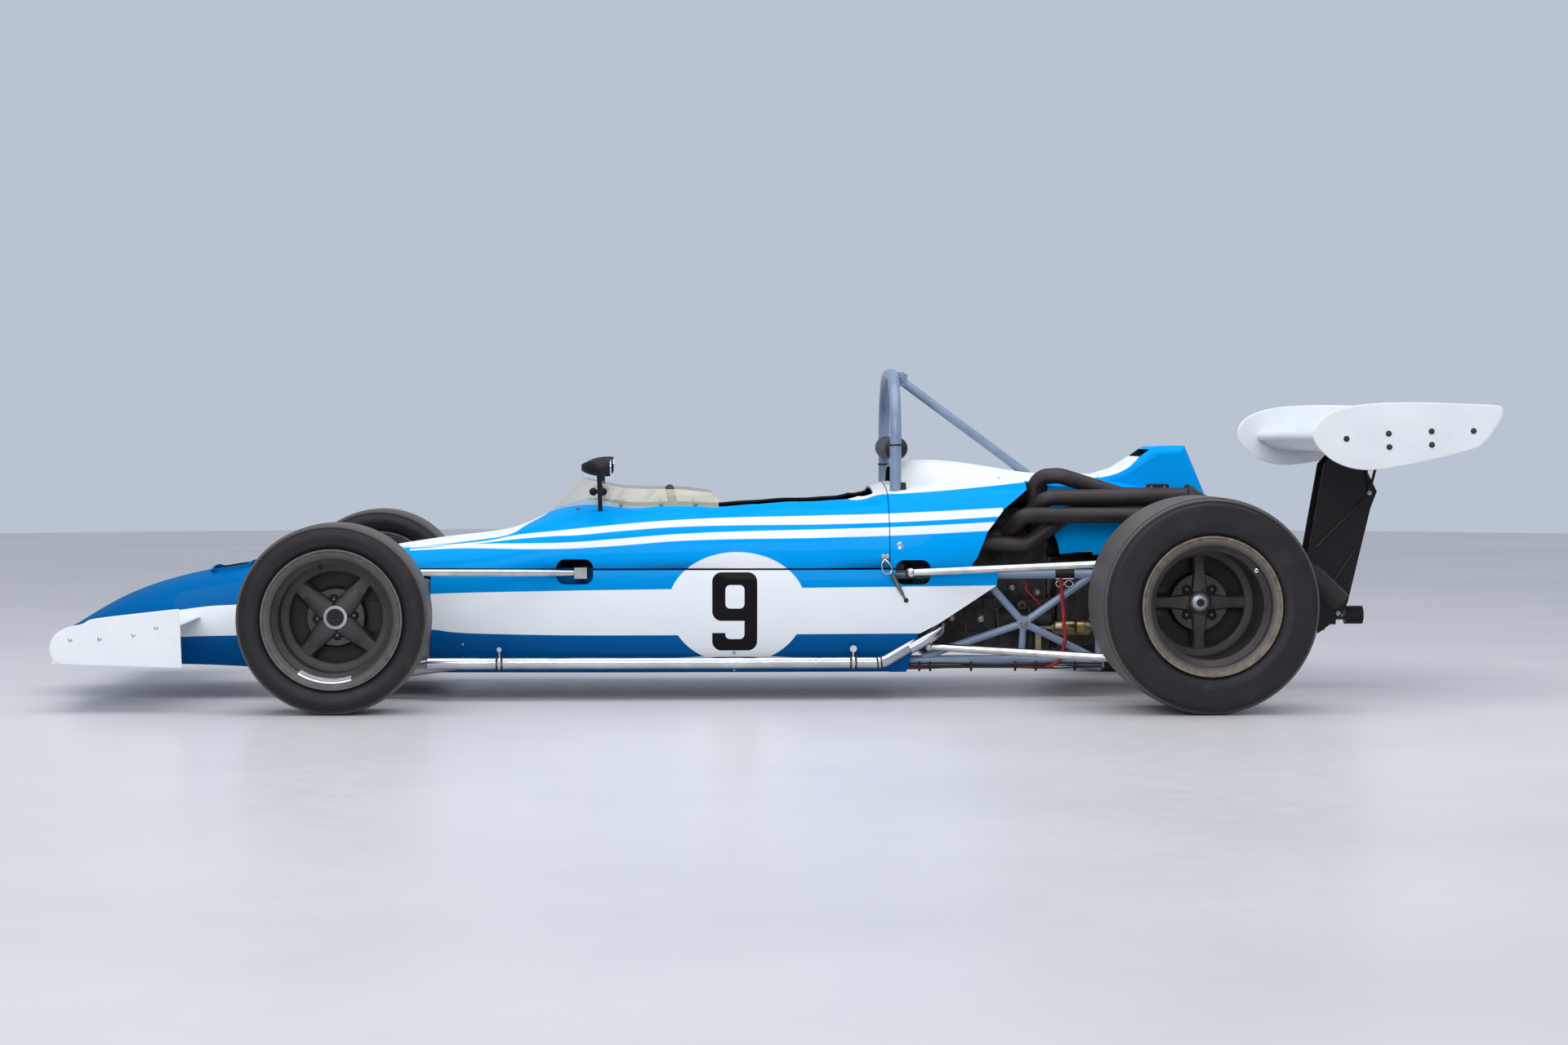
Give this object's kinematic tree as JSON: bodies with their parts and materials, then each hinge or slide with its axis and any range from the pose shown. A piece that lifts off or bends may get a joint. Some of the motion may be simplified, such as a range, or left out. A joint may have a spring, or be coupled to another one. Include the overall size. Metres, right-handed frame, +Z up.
{
  "type": "open wheel racing car",
  "caption": "Single seat open wheel racing car with an open cockpit, spinning slick tyres, rack steering, nose fins, roll hoop, side exhaust and a rear wing.",
  "frame": {"origin": "on the ground, on the centreline, midway between the nose tip and the rear end of the wing plates", "axes": "+Z up, -X towards the nose, -Y towards the driver's left"},
  "size_m": [3.912, 1.77, 0.91],
  "materials": {
    "blue_paint": "metallic gloss",
    "white_paint": "gloss",
    "satin_black": "satin",
    "frame_paint": "satin",
    "tyre": "matte",
    "cast_magnesium": "satin cast",
    "machined_steel": "machined",
    "bright_plate": "polished",
    "raw_aluminium": "satin",
    "engine_casting": "cast",
    "exhaust_steel": "heat darkened",
    "clear_acrylic": "clear",
    "mirror_glass": "polished",
    "black_vinyl": "satin",
    "seat_cloth": "matte",
    "webbing": "woven",
    "red_cable": "satin",
    "gold_anodised": "satin",
    "black_plastic": "matte"
  },
  "bodies": {
    "chassis": {"lower_body": "blue_paint", "cockpit_cowl": "blue_paint", "nose_cone": "blue_paint", "engine_cover": "blue_paint", "nose_fins": "white_paint", "nose_plates": "white_paint", "rear_wing": "white_paint", "wing_plates": "white_paint", "radiator": "raw_aluminium", "windscreen": "clear_acrylic", "mirrors": "satin_black", "mirror_faces": "mirror_glass", "seat": "seat_cloth", "harness": "webbing", "dash_panel": "satin_black", "gear_lever": "machined_steel", "roll_hoop": "frame_paint", "roll_stay": "frame_paint", "head_pad": "black_vinyl", "engine": "engine_casting", "gearbox": "engine_casting", "exhaust": "exhaust_steel", "rear_frame": "frame_paint", "front_frame": "frame_paint", "front_links": "bright_plate", "front_dampers": "machined_steel", "radius_rods": "bright_plate", "rear_links": "bright_plate", "rear_uprights": "cast_magnesium", "rear_dampers": "machined_steel", "water_pipes": "raw_aluminium", "wing_pylons": "satin_black", "tail_lamp": "black_plastic", "battery_cable": "red_cable", "fuel_filter": "gold_anodised"},
    "rack": {"rack": "machined_steel"},
    "steering_wheel": {"steering_wheel": "black_vinyl", "steering_shaft": "machined_steel"},
    "knuckle_left": {"knuckle_left": "cast_magnesium"},
    "knuckle_right": {"knuckle_right": "cast_magnesium"},
    "wheel_front_left": {"tyre_front_left": "tyre", "rim_front_left": "cast_magnesium", "hub_front_left": "machined_steel"},
    "wheel_rear_left": {"tyre_rear_left": "tyre", "rim_rear_left": "cast_magnesium", "hub_rear_left": "machined_steel", "half_shaft_left": "machined_steel"},
    "wheel_front_right": {"tyre_front_right": "tyre", "rim_front_right": "cast_magnesium", "hub_front_right": "machined_steel"},
    "wheel_rear_right": {"tyre_rear_right": "tyre", "rim_rear_right": "cast_magnesium", "hub_rear_right": "machined_steel", "half_shaft_right": "machined_steel"}
  },
  "joints": [
    {"name": "steer_left", "type": "hinge", "parent": "chassis", "child": "knuckle_left", "pos_m": [-1.156, -0.6, 0.248], "axis": [0, 0, 1], "range_deg": [-16, 16]},
    {"name": "steer_right", "type": "hinge", "parent": "chassis", "child": "knuckle_right", "pos_m": [-1.156, 0.6, 0.248], "axis": [0, 0, 1], "range_deg": [-16, 16]},
    {"name": "rack_slide", "type": "slide", "parent": "chassis", "child": "rack", "axis": [0, 1, 0], "range_m": [-0.0305, 0.0305]},
    {"name": "steering_wheel_turn", "type": "hinge", "parent": "chassis", "child": "steering_wheel", "pos_m": [-0.251, 0, 0.44], "axis": [0.9739, 0, 0.2268], "range_deg": [-165, 165]},
    {"name": "spin_front_left", "type": "hinge", "parent": "knuckle_left", "child": "wheel_front_left", "pos_m": [-1.156, -0.692, 0.248], "axis": [0, 1, 0], "continuous": true},
    {"name": "spin_rear_left", "type": "hinge", "parent": "chassis", "child": "wheel_rear_left", "pos_m": [1.114, -0.72, 0.282], "axis": [0, 1, 0], "continuous": true},
    {"name": "spin_front_right", "type": "hinge", "parent": "knuckle_right", "child": "wheel_front_right", "pos_m": [-1.156, 0.692, 0.248], "axis": [0, 1, 0], "continuous": true},
    {"name": "spin_rear_right", "type": "hinge", "parent": "chassis", "child": "wheel_rear_right", "pos_m": [1.114, 0.72, 0.282], "axis": [0, 1, 0], "continuous": true}
  ],
  "couplings": [
    {"joint": "steer_right", "follows": "steer_left", "ratio": 1},
    {"joint": "rack_slide", "follows": "steer_left", "m_per_rad": -0.1033},
    {"joint": "steering_wheel_turn", "follows": "steer_left", "ratio": 10}
  ]
}
